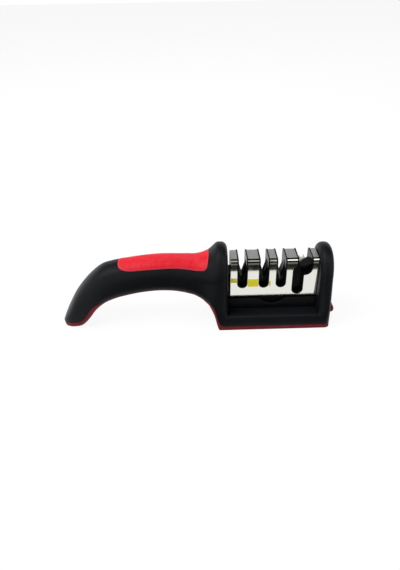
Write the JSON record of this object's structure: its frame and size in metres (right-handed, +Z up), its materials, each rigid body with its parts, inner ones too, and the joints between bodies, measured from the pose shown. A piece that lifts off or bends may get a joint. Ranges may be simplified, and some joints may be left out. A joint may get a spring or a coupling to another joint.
{
  "type": "knife and scissors sharpener",
  "caption": "Hand-held knife and scissors sharpener: a curved black handle with a red grip pad and sole, and a steel-covered lift-out head with V slots.",
  "frame": {"origin": "on the table, under the middle of the whole sharpener's box", "axes": "+X from the handle's tail to the button, +Y away from the front, +Z up"},
  "size_m": [0.244, 0.05, 0.073],
  "materials": {
    "black_shell": "satin moulded black with a fine grain",
    "red_grip": "soft red rubber, matt, with a fine mottle",
    "red_sole": "dark red non-slip rubber, matt",
    "button_red": "smooth red plastic",
    "latch_black": "plain black moulding",
    "core_black": "black moulding with a slight sheen",
    "cover_steel": "bright faces, brushed along the top",
    "screw_steel": "plain steel",
    "spring_steel": "drawn wire",
    "carbide": "ground dark grey",
    "diamond": "grit-coated grey",
    "ceramic": "glazed grey-white",
    "white_ceramic": "fired white ceramic"
  },
  "bodies": {
    "body": {"body_shell": "black_shell", "grip_pad": "red_grip", "sole": "red_sole", "sole_screws": "screw_steel", "latch_bridge": "latch_black", "bridge_screws": "screw_steel", "latch_spring": "spring_steel"},
    "latch": {"release_button": "button_red", "latch_slide": "latch_black"},
    "cartridge": {"core_front": "core_black", "core_rear": "core_black", "core_screws": "screw_steel", "steel_cover": "cover_steel", "cartridge_base": "core_black", "base_screws": "screw_steel", "carbide_blade_left": "carbide", "carbide_blade_right": "carbide", "diamond_rod_left": "diamond", "diamond_rod_right": "diamond", "ceramic_rod_left": "ceramic", "ceramic_rod_right": "ceramic", "scissor_rod": "white_ceramic"}
  },
  "joints": [
    {"name": "button_press", "type": "slide", "parent": "body", "child": "latch", "axis": [-1, 0, 0], "range_m": [0, 0.003], "stiffness_N_per_m": 800, "springref_m": -0.002, "deforming": ["latch_spring"]},
    {"name": "cartridge_lift", "type": "slide", "parent": "body", "child": "cartridge", "axis": [0, 0, 1], "range_m": [0, 0.06]}
  ]
}
